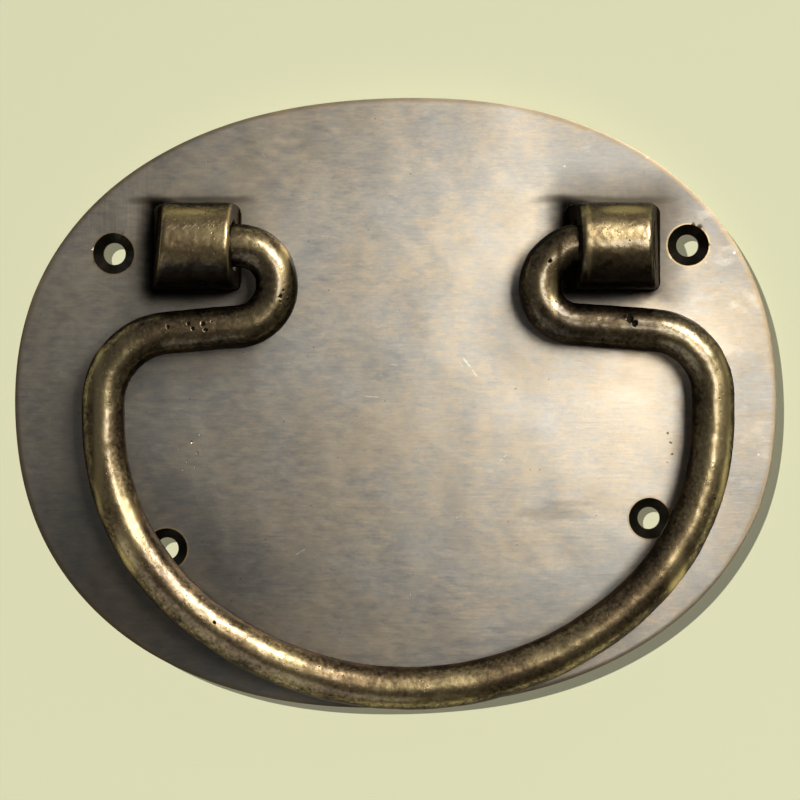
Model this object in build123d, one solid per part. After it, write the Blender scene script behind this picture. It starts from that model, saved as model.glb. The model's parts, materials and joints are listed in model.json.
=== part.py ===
"""Swing-handle door knocker: a round-rod bail hinged in two lugs on an oval brass back plate.

Frame: the back plate stands upright on the door, +Z up, +X to the right as seen by a caller at the
door. The door's face is the plane Y = 0, and everything stands out from it towards -Y. The origin
is the middle of the oval on the back face. All lengths are in millimetres.
"""
from build123d import *
from math import atan, cos, degrees, radians, sin, tan
import os

# Back plate: a broad oval, a little squarer than an ellipse, hung slightly out of level
plate_width = 155.0
plate_height = 124.0
plate_thickness = 3.0
plate_squareness = 2.23      # exponent of the oval, where 2 would be a true ellipse
plate_tilt = 2.3             # degrees, right-hand end high
plate_outline_points = 48
plate_edge_wear = 0.35       # worn bevel round both faces

# Four mounting holes for No. 8 countersunk wood screws, drilled by eye
screw_hole_radius = 2.25
countersink_radius = 4.2
mounting_holes = {
    "upper_left": (-57.4, 30.4),
    "upper_right": (59.5, 32.1),
    "lower_left": (-46.6, -29.7),
    "lower_right": (51.6, -23.5),
}

# Bail: one round rod, with both ends turned in to sit in the lugs
rod_radius = 4.35
pivot_height = 9.5           # axis of the hinge above the plate's front face
pivot_z = 31.5
running_clearance = 0.06     # radial, rod in bore
end_float = 0.3              # between the rod's end and the blind bore's floor

bowl_centre = (2.5, -3.5)
bowl_half_width = 61.0
bowl_drop = 53.6
bowl_side_turn = 48.0        # degrees turned by each side arc before the flatter bottom arc

left_arm_slope = 4.8         # degrees, falling away from the elbow
left_arm_z = 15.92           # height of the arm's line at the elbow
left_elbow_x = -23.8
left_shoulder_bend = 14.0
left_elbow_lower_bend = 8.2
left_elbow_upper_bend = 7.6

right_arm_slope = 4.1
right_arm_z = 16.24
right_elbow_x = 28.9
right_shoulder_bend = 12.8
right_elbow_lower_bend = 7.4
right_elbow_upper_bend = 7.0
right_kink_x = 34.6          # where the rod leaves the hinge axis at an angle
right_kink_angle = 37.0

# Lugs: a barrel round the rod, on a block that stands on the plate
lug_radius = 8.75
lug_edge_radius = 0.9
lug_blank_length = 40.0      # the straight bar that each lug is cut from
lug_foot_height = 0.7
lug_foot_spread = 0.45
bell_mouth_depth = 1.9       # each bore opens out where the rod enters
bell_mouth_spread = 1.7
# each end of a lug leans: X at the foot, X at the front, and how far the top is from the bottom
left_lug = {"outer": (-48.8, -46.4, 1.6), "inner": (-31.6, -32.8, 0.3), "bore_floor": -43.0}
right_lug = {"outer": (53.6, 50.8, -0.4), "inner": (34.5, 36.8, -0.3), "bore_floor": 47.5}

# Countersunk machine screws that hold the lugs from behind the plate (M4 x 8)
lug_screw_radius = 2.0
lug_screw_length = 8.0
lug_screw_head_radius = 3.75
lug_screw_slot = (1.0, 0.9)  # width and depth of the driver slot
lug_screw_slot_angle = 30.0  # degrees round from level
lug_screw_sink = 0.15        # the head lies this far below the back face
lug_screw_play = 0.15        # radial, shank in the plate
lug_screw_thread_gap = 0.02  # radial, plain shank in the lug's plain hole
lug_screw_tip_gap = 0.3
lug_screw_offset = (4.4, 4.9)  # sideways and upwards from the lug's middle, either side of the bore

pivot_y = -(plate_thickness + pivot_height)
lug_height = pivot_height + lug_radius
front = Plane.XZ             # sketches here have X across and Z up, and extrude towards the caller


def at_front(x, z, above_back):
    """The place (x, z) at a distance in front of the door's face, looking out along -Y."""
    return Plane(origin=(x, -above_back, z), x_dir=(1, 0, 0), z_dir=(0, -1, 0))


def superellipse_point(angle):
    """A point of the plate's outline, tilted, at an angle counted round from the right."""
    def stretch(value):
        return abs(value) ** (2 / plate_squareness) * (1 if value >= 0 else -1)
    x = plate_width / 2 * stretch(cos(angle))
    z = plate_height / 2 * stretch(sin(angle))
    tilt = radians(plate_tilt)
    return (x * cos(tilt) - z * sin(tilt), x * sin(tilt) + z * cos(tilt))


def make_back_plate():
    """The oval plate, with four countersunk mounting holes and two screw holes behind each lug."""
    step = radians(360 / plate_outline_points)
    outline = Spline(*[superellipse_point(i * step) for i in range(plate_outline_points)], periodic=True)
    plate = extrude(front * make_face(outline), amount=plate_thickness)
    plate = chamfer(plate.edges(), plate_edge_wear)
    for x, z in mounting_holes.values():
        plate -= at_front(x, z, plate_thickness / 2) * Cylinder(screw_hole_radius, plate_thickness)
        depth = countersink_radius - screw_hole_radius
        sink = Cone(screw_hole_radius, countersink_radius, depth)
        plate -= at_front(x, z, plate_thickness - depth / 2) * sink
    for lug in (left_lug, right_lug):
        for x, z in lug_screw_places(lug):
            shank = Cylinder(lug_screw_radius + lug_screw_play, plate_thickness)
            plate -= at_front(x, z, plate_thickness / 2) * shank
            plate -= screw_head_cone(x, z, lug_screw_play)
            rim = Cylinder(lug_screw_head_radius + lug_screw_play, lug_screw_sink)
            plate -= at_front(x, z, lug_screw_sink / 2) * rim
    return plate


def lug_middle(lug):
    """The middle of the lug's foot along X."""
    return (lug["outer"][0] + lug["inner"][0]) / 2


def lug_screw_places(lug):
    """The two places (x, z) of the screws behind a lug: outer one high, inner one low."""
    outward = 1 if lug["outer"][0] > lug["inner"][0] else -1
    across, up = lug_screw_offset
    middle = lug_middle(lug)
    return [(middle + outward * across, pivot_z + up), (middle - outward * across, pivot_z - up)]


def screw_head_cone(x, z, play):
    """The 90 degree cone of a lug screw's head, narrowing towards the front, with play all round."""
    depth = lug_screw_head_radius - lug_screw_radius
    cone = Cone(lug_screw_head_radius + play, lug_screw_radius + play, depth)
    return at_front(x, z, lug_screw_sink + depth / 2) * cone


def end_cut(end, outward):
    """The material beyond one leaning end of a lug, to be cut away."""
    foot_x, front_x, skew = end
    size = 2 * lug_blank_length
    lean = degrees(atan((front_x - foot_x) / lug_height))
    skewed = degrees(atan(skew / (2 * lug_radius)))
    middle_x = (foot_x + front_x) / 2
    middle_y = -(plate_thickness + lug_height / 2)
    beyond = Pos(outward * size / 2, 0, 0) * Box(size, size, size)
    return Pos(middle_x, middle_y, pivot_z) * Rot(0, -skewed, lean) * beyond


def make_lug(lug):
    """One lug: barrel, block and spreading foot, with a blind bell-mouthed bore and two screw holes."""
    outward = 1 if lug["outer"][0] > lug["inner"][0] else -1
    middle = lug_middle(lug)
    length = lug_blank_length
    barrel = Pos(middle, pivot_y, pivot_z) * Rot(0, 90, 0) * Cylinder(lug_radius, length)
    block_centre = Pos(middle, -(plate_thickness + pivot_height / 2), pivot_z)
    body = barrel + block_centre * Box(length, pivot_height, 2 * lug_radius)
    body -= end_cut(lug["outer"], outward)
    body -= end_cut(lug["inner"], -outward)
    ends = body.faces().sort_by(Axis.X)
    rims = ends[0].edges() + ends[-1].edges()
    rims = [edge for edge in rims if edge.center().Y < -plate_thickness - lug_edge_radius]
    body = fillet(rims, lug_edge_radius)

    foot_length = abs(lug["outer"][0] - lug["inner"][0]) + 2 * lug_foot_spread
    foot_depth = 2 * (lug_radius + lug_foot_spread)
    foot = Box(foot_length, lug_foot_height, foot_depth)
    foot = chamfer(foot.faces().sort_by(Axis.Y)[0].edges(), lug_foot_spread)
    body += Pos(middle, -(plate_thickness + lug_foot_height / 2), pivot_z) * foot

    bore_radius = rod_radius + running_clearance
    mouth_x = lug["inner"][0] - outward * lug_foot_spread
    bore_length = abs(lug["bore_floor"] - mouth_x)
    bore_middle = (lug["bore_floor"] + mouth_x) / 2
    body -= Pos(bore_middle, pivot_y, pivot_z) * Rot(0, 90, 0) * Cylinder(bore_radius, bore_length)
    body -= bell_mouth(lug, outward, bore_radius)

    tapped_length = lug_screw_length + lug_screw_sink - plate_thickness + lug_screw_tip_gap
    tapped = Cylinder(lug_screw_radius + lug_screw_thread_gap, tapped_length)
    for x, z in lug_screw_places(lug):
        body -= at_front(x, z, plate_thickness + tapped_length / 2) * tapped
    return body


def bell_mouth(lug, outward, bore_radius):
    """The cone that opens the bore where the rod comes in and starts to bend."""
    foot_x, front_x, _ = lug["inner"]
    face_x = foot_x + (front_x - foot_x) * pivot_height / lug_height
    beyond_face = lug_edge_radius + bell_mouth_depth
    slope = bell_mouth_spread / bell_mouth_depth
    narrow_x = face_x + outward * bell_mouth_depth
    wide_x = face_x - outward * beyond_face
    wide_radius = bore_radius + slope * (bell_mouth_depth + beyond_face)
    length = abs(narrow_x - wide_x)
    cone = Cone(wide_radius, bore_radius, length)
    turn = Rot(0, 90, 0) if outward > 0 else Rot(0, -90, 0)
    return Pos((narrow_x + wide_x) / 2, pivot_y, pivot_z) * turn * cone


def rod_along(path, start, heading):
    """A round rod swept along a path that starts at a point with a heading, in the hinge plane."""
    section = Plane(origin=start, z_dir=heading) * Circle(rod_radius)
    return sweep(section, path)


def in_hinge_plane(x, z):
    """A point of the bail's centreline, which lies flat in the plane of the hinge axis."""
    return Vector(x, pivot_y, z)


def bowl_arcs():
    """The bail's bowl: two side arcs and a flatter bottom arc, each tangent to the next."""
    centre_x, centre_z = bowl_centre
    turn = radians(bowl_side_turn)
    share = (1 - sin(turn)) / cos(turn)
    side_radius = (bowl_drop - share * bowl_half_width) / (1 - share)
    bottom_radius = side_radius + (bowl_half_width - side_radius) / cos(turn)
    side = CenterArc((centre_x - bowl_half_width + side_radius, centre_z), side_radius, 180, bowl_side_turn)
    bottom_z = centre_z - bowl_drop + bottom_radius
    bottom = CenterArc((centre_x, bottom_z), bottom_radius, 180 + bowl_side_turn, 180 - 2 * bowl_side_turn)
    far_x = centre_x + bowl_half_width - side_radius
    far_side = CenterArc((far_x, centre_z), side_radius, 360 - bowl_side_turn, bowl_side_turn)
    return [at_front(0, 0, -pivot_y) * arc for arc in (side, bottom, far_side)]


def limb_corners(side):
    """Corners of one limb's centreline, from the end of the bowl up to the hinge, and their bends."""
    centre_x, centre_z = bowl_centre
    if side == "left":
        shoulder_x = centre_x - bowl_half_width
        fall = tan(radians(left_arm_slope)) * abs(shoulder_x - left_elbow_x)
        corners = [
            (shoulder_x, centre_z),
            (shoulder_x, left_arm_z - fall),
            (left_elbow_x, left_arm_z),
            (left_elbow_x, pivot_z),
            (left_lug["bore_floor"] + end_float, pivot_z),
        ]
        return corners, [left_shoulder_bend, left_elbow_lower_bend, left_elbow_upper_bend]
    shoulder_x = centre_x + bowl_half_width
    fall = tan(radians(right_arm_slope)) * abs(shoulder_x - right_elbow_x)
    rise = tan(radians(right_kink_angle)) * (right_kink_x - right_elbow_x)
    corners = [
        (shoulder_x, centre_z),
        (shoulder_x, right_arm_z - fall),
        (right_elbow_x, right_arm_z),
        (right_elbow_x, pivot_z - rise),
        (right_kink_x, pivot_z),
    ]
    return corners, [right_shoulder_bend, right_elbow_lower_bend, right_elbow_upper_bend]


def make_bail():
    """The bent rod in one piece: bowl, two limbs and the kinked right-hand end."""
    up = (0, 0, 1)
    left_corners, left_bends = limb_corners("left")
    right_corners, right_bends = limb_corners("right")
    left_path = FilletPolyline(*[in_hinge_plane(x, z) for x, z in left_corners], radius=left_bends)
    right_path = FilletPolyline(*[in_hinge_plane(x, z) for x, z in right_corners], radius=right_bends)
    bowl_path = Curve() + bowl_arcs()
    left_start = in_hinge_plane(*left_corners[0])
    right_start = in_hinge_plane(*right_corners[0])
    bail = rod_along(bowl_path, left_start, (0, 0, -1))
    bail += rod_along(left_path, left_start, up)
    bail += rod_along(right_path, right_start, up)
    journal_end = right_lug["bore_floor"] - end_float
    journal_length = journal_end - right_kink_x
    journal = Rot(0, 90, 0) * Cylinder(rod_radius, journal_length)
    bail += Pos(right_kink_x + journal_length / 2, pivot_y, pivot_z) * journal
    bail += Pos(right_kink_x, pivot_y, pivot_z) * Sphere(rod_radius)
    return bail


def make_lug_screw(x, z):
    """A slotted countersunk machine screw, driven from behind the plate."""
    shank = Cylinder(lug_screw_radius, lug_screw_length)
    screw = at_front(x, z, lug_screw_sink + lug_screw_length / 2) * shank
    screw += screw_head_cone(x, z, 0)
    slot_width, slot_depth = lug_screw_slot
    slot = Box(3 * lug_screw_head_radius, slot_width, 2 * slot_depth)
    screw -= at_front(x, z, lug_screw_sink) * Rot(0, 0, lug_screw_slot_angle) * slot
    return screw


def save(name, solid):
    """Write one sub-part to its own STEP file."""
    export_step(solid, os.path.join("parts", name + ".step"))
    print(name, "volume", round(solid.volume, 1), "mm3, solids", len(solid.solids()))


os.makedirs("parts", exist_ok=True)
save("back_plate", make_back_plate())
save("left_lug", make_lug(left_lug))
save("right_lug", make_lug(right_lug))
save("bail", make_bail())
for side, lug in (("left", left_lug), ("right", right_lug)):
    for level, place in zip(("upper", "lower"), lug_screw_places(lug)):
        save(f"{side}_lug_screw_{level}", make_lug_screw(*place))
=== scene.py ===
# %% [markdown]
# # A cast-brass door knocker: oval plate, two hinge lugs and a swinging bail
# This lesson dresses a measured model. The engineering model comes in first as a fixed frame. Every
# piece is then modelled again the way a brass founder would know it, with worn edges, casting pits
# and a patina, inside the same measurements.
# Everything is in metres, with +Z up the door, +X to the right and -Y out towards the caller.

# %% Load the measured frame
import json
import math
import bpy
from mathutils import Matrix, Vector


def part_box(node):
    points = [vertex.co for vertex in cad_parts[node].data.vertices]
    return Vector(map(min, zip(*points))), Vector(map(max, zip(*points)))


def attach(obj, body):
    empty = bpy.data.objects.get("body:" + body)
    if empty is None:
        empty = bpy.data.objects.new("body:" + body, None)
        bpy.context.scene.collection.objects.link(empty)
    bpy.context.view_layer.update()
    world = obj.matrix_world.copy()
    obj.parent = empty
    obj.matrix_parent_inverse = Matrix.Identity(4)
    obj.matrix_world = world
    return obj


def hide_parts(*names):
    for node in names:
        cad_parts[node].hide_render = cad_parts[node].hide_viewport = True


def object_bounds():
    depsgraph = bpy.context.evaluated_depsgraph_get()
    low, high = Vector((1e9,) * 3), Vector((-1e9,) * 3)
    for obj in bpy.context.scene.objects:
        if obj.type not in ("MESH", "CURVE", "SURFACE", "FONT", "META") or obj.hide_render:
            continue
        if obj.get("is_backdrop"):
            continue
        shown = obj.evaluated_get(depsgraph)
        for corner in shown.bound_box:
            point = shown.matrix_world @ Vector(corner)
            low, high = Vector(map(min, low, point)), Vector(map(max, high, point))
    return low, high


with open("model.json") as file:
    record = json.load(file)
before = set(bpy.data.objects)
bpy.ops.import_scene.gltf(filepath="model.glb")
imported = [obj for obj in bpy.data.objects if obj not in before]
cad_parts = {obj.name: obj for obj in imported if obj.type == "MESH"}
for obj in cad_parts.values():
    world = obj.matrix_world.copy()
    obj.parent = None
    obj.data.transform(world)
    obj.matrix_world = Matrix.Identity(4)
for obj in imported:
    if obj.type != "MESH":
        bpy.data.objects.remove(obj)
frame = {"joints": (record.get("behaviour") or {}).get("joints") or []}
cad_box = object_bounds()
print("measured model:", [tuple(round(v * 1000, 1) for v in corner) for corner in cad_box], "mm")

# %% [markdown]
# ## Measures taken from the frame
# A piece's own box gives its size, and the joint gives the hinge axis. What a box can't tell, such as
# the radius of a bend, is stated in millimetres, as a maker would note it on a drawing.

# %% Measures of the plate, the hinge and the rod


def mm(value):
    """Millimetres, as a maker thinks, to metres, as the scene needs."""
    return value / 1000


plate_low, plate_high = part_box("back_plate")
plate_back = plate_high.y
plate_front = plate_low.y
plate_thickness = plate_back - plate_front
plate_tilt = math.radians(2.3)
plate_middle_x = (plate_high.x + plate_low.x) / 2
plate_squareness = 2.23


def half_size(box_half, other_half):
    """Half a size of the tilted oval, from half its box and about half its other size."""
    power = plate_squareness / (plate_squareness - 1)
    own_part = box_half ** power - (other_half * math.sin(plate_tilt)) ** power
    return own_part ** (1 / power) / math.cos(plate_tilt)


box_half_width, box_half_height = (plate_high.x - plate_low.x) / 2, (plate_high.z - plate_low.z) / 2
plate_half_width = half_size(box_half_width, box_half_height)
plate_half_height = half_size(box_half_height, box_half_width)

hinge = frame["joints"][0]
pivot = Vector(hinge["pos_m"])
bail_low, bail_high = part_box("bail")
rod_radius = (bail_high.y - bail_low.y) / 2

screw_hole_radius = mm(2.25)
lug_screw_hole_radius = mm(2.15)
countersink_radius = mm(4.2)
hole_places_mm = ((-57.4, 30.4), (59.5, 32.1), (-46.6, -29.7), (51.6, -23.5))
mounting_holes = [(mm(x), mm(z)) for x, z in hole_places_mm]
lug_screws = [f"{side}_lug_screw_{place}" for side in ("left", "right") for place in ("upper", "lower")]
print("plate", round(plate_half_width * 2000, 1), "x", round(plate_half_height * 2000, 1), "mm")
print("rod", round(rod_radius * 2000, 2), "mm thick, hinge axis at Z", round(pivot.z * 1000, 1), "mm")

# %% [markdown]
# ## Small helpers for modelling by hand
# Blender's operators act on whatever is selected. So each new piece begins by deselecting everything,
# and faces or edges are picked by where they are. Modifiers are applied as soon as they are set.

# %% Helpers: start a piece, pick parts of it, apply a modifier


def start_piece(name):
    """Name the primitive that was just added, and put its place into its mesh."""
    piece = bpy.context.object
    piece.name = name
    piece.data.name = name
    bpy.ops.object.transform_apply(location=True, rotation=True, scale=True)
    return piece


def cylinder(name, axis, vertices, radius, length, middle):
    """Add a cylinder that lies along X or Y."""
    nothing_selected()
    lying = {"X": (0, math.pi / 2, 0), "Y": (math.pi / 2, 0, 0)}[axis]
    sizes = {"vertices": vertices, "radius": radius, "depth": length}
    bpy.ops.mesh.primitive_cylinder_add(location=middle, rotation=lying, **sizes)
    return start_piece(name)


def extrude(x, y, z):
    """Extrude what is selected, in edit mode, by this much."""
    bpy.ops.mesh.extrude_region_move(TRANSFORM_OT_translate={"value": (x, y, z)})


def nothing_selected():
    """Leave edit mode and deselect everything."""
    if bpy.context.object and bpy.context.object.mode != "OBJECT":
        bpy.ops.object.mode_set(mode="OBJECT")
    bpy.ops.object.select_all(action="DESELECT")


def only(piece):
    """Make one piece the active and only selected object."""
    nothing_selected()
    piece.select_set(True)
    bpy.context.view_layer.objects.active = piece


def pick(piece, kind, test):
    """In edit mode, select the vertices, edges or faces whose middle passes a test."""
    bpy.ops.mesh.select_mode(type={"vertices": "VERT", "edges": "EDGE", "polygons": "FACE"}[kind])
    bpy.ops.mesh.select_all(action="DESELECT")
    bpy.ops.object.mode_set(mode="OBJECT")
    mesh = piece.data
    for part in getattr(mesh, kind):
        if kind == "vertices":
            middle = part.co
        elif kind == "edges":
            middle = (mesh.vertices[part.vertices[0]].co + mesh.vertices[part.vertices[1]].co) / 2
        else:
            middle = part.center
        part.select = bool(test(middle, part))
    bpy.ops.object.mode_set(mode="EDIT")


def modify(piece, kind, **settings):
    """Add one modifier with its settings and apply it at once."""
    only(piece)
    modifier = piece.modifiers.new(kind.lower(), kind)
    for name, value in settings.items():
        setattr(modifier, name, value)
    bpy.ops.object.modifier_apply(modifier=modifier.name)


def weights(piece, name, amount_at):
    """Paint a vertex group whose weight at each vertex is given by a rule."""
    group = piece.vertex_groups.new(name=name)
    for vertex in piece.data.vertices:
        amount = amount_at(vertex.co)
        if amount > 0:
            group.add([vertex.index], amount, "REPLACE")
    return group.name


def joined(pieces):
    """Join pieces into one and give it back."""
    nothing_selected()
    for piece in pieces:
        piece.select_set(True)
    bpy.context.view_layer.objects.active = pieces[0]
    bpy.ops.object.join()
    return bpy.context.object


def cut_with(piece, cutter, solver):
    """Take a cutter's shape out of a piece, and throw the cutter away."""
    modify(piece, "BOOLEAN", operation="DIFFERENCE", object=cutter, solver=solver)
    bpy.data.objects.remove(cutter)


def lumps(name, size):
    """A cloudy height field for the Displace modifier, with lumps of about this size."""
    texture = bpy.data.textures.new(name, "CLOUDS")
    texture.noise_scale = size
    texture.noise_depth = 2
    return texture


def roughen(piece, layers, **settings):
    """Displace a piece by layers of lumps, each with a name, a size and a depth in millimetres."""
    for name, size, depth in layers:
        texture = lumps(name, mm(size))
        modify(piece, "DISPLACE", texture=texture, texture_coords="LOCAL", strength=mm(depth), **settings)


def faces_of(piece):
    """Report a piece's size in triangles."""
    triangles = sum(len(face.vertices) - 2 for face in piece.data.polygons)
    print(piece.name, "has", triangles, "triangles")


print("helpers ready")

# %% [markdown]
# ## The bail: one rod, bent cold round formers
# On the real piece this is a brass rod a little thicker than a pencil. Its two ends turn inwards and sit
# in the lugs, so it swings. A smith bends a rod as straight run, bend, straight run. So it is made here
# in the same way, from one circle that is extruded along each straight run and spun round each bend.
# The bends are the corners of a many-sided outline, each with its own radius, and the bowl's three
# arcs meet with no straight between them.

# %% The corners of the bail and the radius of each bend

bowl_x, bowl_z = mm(2.5), mm(-3.5)
bowl_half_width, bowl_drop = mm(61.0), mm(53.6)
bowl_side_turn = math.radians(48)
left_elbow_x, right_elbow_x, kink_x = mm(-23.8), mm(28.9), mm(34.6)
left_arm_z, right_arm_z = mm(15.92), mm(16.24)
left_arm_slope, right_arm_slope, kink_slope = (math.tan(math.radians(a)) for a in (4.8, 4.1, 37.0))
left_end_x, right_end_x = mm(-42.7), mm(47.2)

share = (1 - math.sin(bowl_side_turn)) / math.cos(bowl_side_turn)
side_radius = (bowl_drop - share * bowl_half_width) / (1 - share)
bottom_radius = side_radius + (bowl_half_width - side_radius) / math.cos(bowl_side_turn)
side_tangent = side_radius * math.tan(bowl_side_turn / 2)
left_side_x, right_side_x = bowl_x - bowl_half_width, bowl_x + bowl_half_width
bottom_corner_z = bowl_z - bowl_drop + bottom_radius - bottom_radius / math.sin(bowl_side_turn)
# a bottom arc that turns this far needs its one corner far below, so the outline dips to it
bail_outline = [
    (left_end_x, pivot.z, 0),
    (left_elbow_x, pivot.z, mm(7.6)),
    (left_elbow_x, left_arm_z, mm(8.2)),
    (left_side_x, left_arm_z - left_arm_slope * (left_elbow_x - left_side_x), mm(14)),
    (left_side_x, bowl_z - side_tangent, side_radius),
    (bowl_x, bottom_corner_z, bottom_radius),
    (right_side_x, bowl_z - side_tangent, side_radius),
    (right_side_x, right_arm_z - right_arm_slope * (right_side_x - right_elbow_x), mm(12.8)),
    (right_elbow_x, right_arm_z, mm(7.4)),
    (right_elbow_x, pivot.z - kink_slope * (kink_x - right_elbow_x), mm(7.0)),
    (kink_x, pivot.z, mm(4.6)),
    (right_end_x, pivot.z, 0),
]
print("bowl radii", round(side_radius * 1000, 1), "and", round(bottom_radius * 1000, 1), "mm")

# %% Bend the rod: extrude the straights, spin the bends

ring_spacing = mm(0.9)
nothing_selected()
bpy.ops.mesh.primitive_circle_add(
    vertices=40,
    radius=rod_radius,
    fill_type="NOTHING",
    location=(left_end_x, pivot.y, pivot.z),
    rotation=(0, math.pi / 2, 0),
)
bail = start_piece("bail_rod")
bpy.ops.object.mode_set(mode="EDIT")
bpy.ops.mesh.select_all(action="SELECT")

place = Vector((left_end_x, pivot.z))
for before, corner, after in zip(bail_outline, bail_outline[1:], bail_outline[2:] + [None]):
    here = Vector(corner[:2])
    way_in = (here - Vector(before[:2])).normalized()
    turn = 0.0
    if after:
        way_out = (Vector(after[:2]) - here).normalized()
        turn = math.atan2(way_in.cross(way_out), way_in.dot(way_out))
    tangent = corner[2] * math.tan(abs(turn) / 2)
    run = (here - place).length - tangent
    if run > mm(0.05):
        steps = max(1, round(run / ring_spacing))
        for _ in range(steps):
            step = way_in * (run / steps)
            extrude(step.x, 0, step.y)
    if after:
        start = here - way_in * tangent
        left_of_path = Vector((-way_in.y, way_in.x))
        centre = start + left_of_path * math.copysign(corner[2], turn)
        bpy.ops.mesh.spin(
            steps=max(3, round(corner[2] * abs(turn) / ring_spacing)),
            angle=turn,
            center=(centre.x, pivot.y, centre.y),
            axis=(0, 1, 0),
        )
        place = here + way_out * tangent

bpy.ops.mesh.select_all(action="SELECT")
bpy.ops.mesh.remove_doubles(threshold=mm(0.02))
bpy.ops.mesh.select_all(action="DESELECT")
bpy.ops.mesh.select_non_manifold()
bpy.ops.mesh.edge_face_add()
bpy.ops.mesh.select_all(action="SELECT")
bpy.ops.mesh.normals_make_consistent(inside=False)
nothing_selected()
faces_of(bail)

# %% [markdown]
# ### Make the rod look hand made
# A rod that was cast in sand and bent by hand is never quite round. Three clouds of lumps, large,
# middling and fine, move the surface by a few hundredths of a millimetre up to a tenth or two. The
# ends stay true, because they turn in the lugs. Casting pits are real hollows here, cut with small
# lumpy balls, because a hollow that only exists in the shading would vanish in an edge-on light.

# %% Uneven skin on the rod

modify(bail, "SUBSURF", levels=1, render_levels=1)
stub_inside = mm(1.5)
left_mouth_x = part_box("left_lug")[1].x
right_mouth_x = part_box("right_lug")[0].x


def outside_the_lugs(point):
    """1 on the rod's visible length and 0 where its ends run in the bores."""
    near_axis = abs(point.z - pivot.z) < mm(7)
    inside = point.x < left_mouth_x + stub_inside or point.x > right_mouth_x - stub_inside
    return 0.0 if near_axis and inside else 1.0


skin = weights(bail, "skin", outside_the_lugs)
bail_skin = (("bends_flattened", 11.0, 0.34), ("hammered", 3.6, 0.13), ("sand_cast", 0.9, 0.05))
roughen(bail, bail_skin, mid_level=0.6, vertex_group=skin)
faces_of(bail)

# %% Cut the casting pits

# middle of each pit across the front of the rod, its width and height, and how deep it goes
casting_pits = [
    (46.6, 17.0, 0.75, 1.15, 0.75),
    (47.5, 15.9, 0.62, 0.75, 0.6),
    (45.6, 17.4, 0.35, 0.3, 0.3),
    (-45.3, 15.2, 0.45, 0.28, 0.35),
    (-41.2, 15.9, 0.5, 0.4, 0.35),
    (-40.3, 14.8, 0.3, 0.42, 0.3),
    (-38.3, 15.8, 0.42, 0.55, 0.4),
    (-37.7, 14.5, 0.36, 0.36, 0.3),
    (-36.6, 16.2, 0.22, 0.22, 0.25),
    (-22.8, 21.2, 0.42, 0.5, 0.3),
    (-22.3, 22.4, 0.3, 0.35, 0.25),
    (-22.9, 20.1, 0.24, 0.26, 0.22),
    (-36.0, -43.6, 0.3, 0.42, 0.3),
    (63.4, -19.0, 0.35, 0.3, 0.2),
    (30.6, 28.2, 0.3, 0.4, 0.25),
]
lumpy = lumps("pit_edges", mm(0.5))


def cut_pits(piece, pits):
    """Hollow out small ragged pits in the front of a piece with one joined cutter."""
    balls = []
    for number, (x, z, half_wide, half_high, depth) in enumerate(pits):
        nothing_selected()
        here = Vector((mm(x), mm(z)))
        near = [v.co.y for v in piece.data.vertices if (v.co.xz - here).length < mm(1.5)]
        bpy.ops.mesh.primitive_ico_sphere_add(
            subdivisions=3,
            radius=mm(1),
            scale=(half_wide, depth, half_high),
            location=(mm(x), min(near), mm(z)),
            rotation=(0, 0.5 * number, 0),
        )
        ball = start_piece("pit_ball")
        unevenness = mm(0.6) * min(half_wide, half_high)
        modify(ball, "DISPLACE", texture=lumpy, texture_coords="GLOBAL", strength=unevenness, mid_level=0.5)
        balls.append(ball)
    cut_with(piece, joined(balls), "MANIFOLD")
    print(len(pits), "pits cut in", piece.name)


cut_pits(bail, casting_pits)
only(bail)
bpy.ops.object.shade_smooth()
faces_of(bail)

# %% [markdown]
# ## The lugs: a barrel on a block
# Each lug is a solid casting: a barrel round the rod, on a block that stands on the plate, with a foot
# that spreads a little. It starts as a plain bar, loses its back half, and gets the block by extruding
# the cut. Two leaning cuts make it longer at the plate than at the front, and the bore is drilled last.
# A fine remesh then fuses all of it into one skin and softens the corners, as years of hands do.

# %% How each lug differs

foot_spread = mm(0.45)
foot_height = mm(0.6)
lug_radius = (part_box("left_lug")[1].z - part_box("left_lug")[0].z) / 2 - foot_spread
bore_radius = rod_radius + mm(0.25)
# which way its blind end faces, how far each end leans in towards the front, and the outer end's skew
lug_shapes = {
    "left_lug": {"outward": -1, "outer_lean": mm(2.4), "inner_lean": mm(1.2), "skew": mm(1.6)},
    "right_lug": {"outward": 1, "outer_lean": mm(2.8), "inner_lean": mm(2.3), "skew": mm(0.4)},
}

# %% Carve a lug


def bore_cutter(name, face_x, outward):
    """A drill for the blind bore: straight, then flaring where it leaves the lug's inner face."""
    depth = mm(10.9)
    middle = (face_x + outward * (mm(0.9) + depth / 2), pivot.y, pivot.z)
    cutter = cylinder(name, "X", 64, bore_radius, depth, middle)
    bpy.ops.object.mode_set(mode="EDIT")
    pick(cutter, "polygons", lambda middle, face: face.normal.x * outward < -0.9)
    for step, growth in ((mm(0.9), 1.09), (mm(0.8), 1.16), (mm(0.8), 1.16), (mm(2), 1.3)):
        extrude(-outward * step, 0, 0)
        bpy.ops.transform.resize(value=(1, growth, growth))
    nothing_selected()
    return cutter


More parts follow.
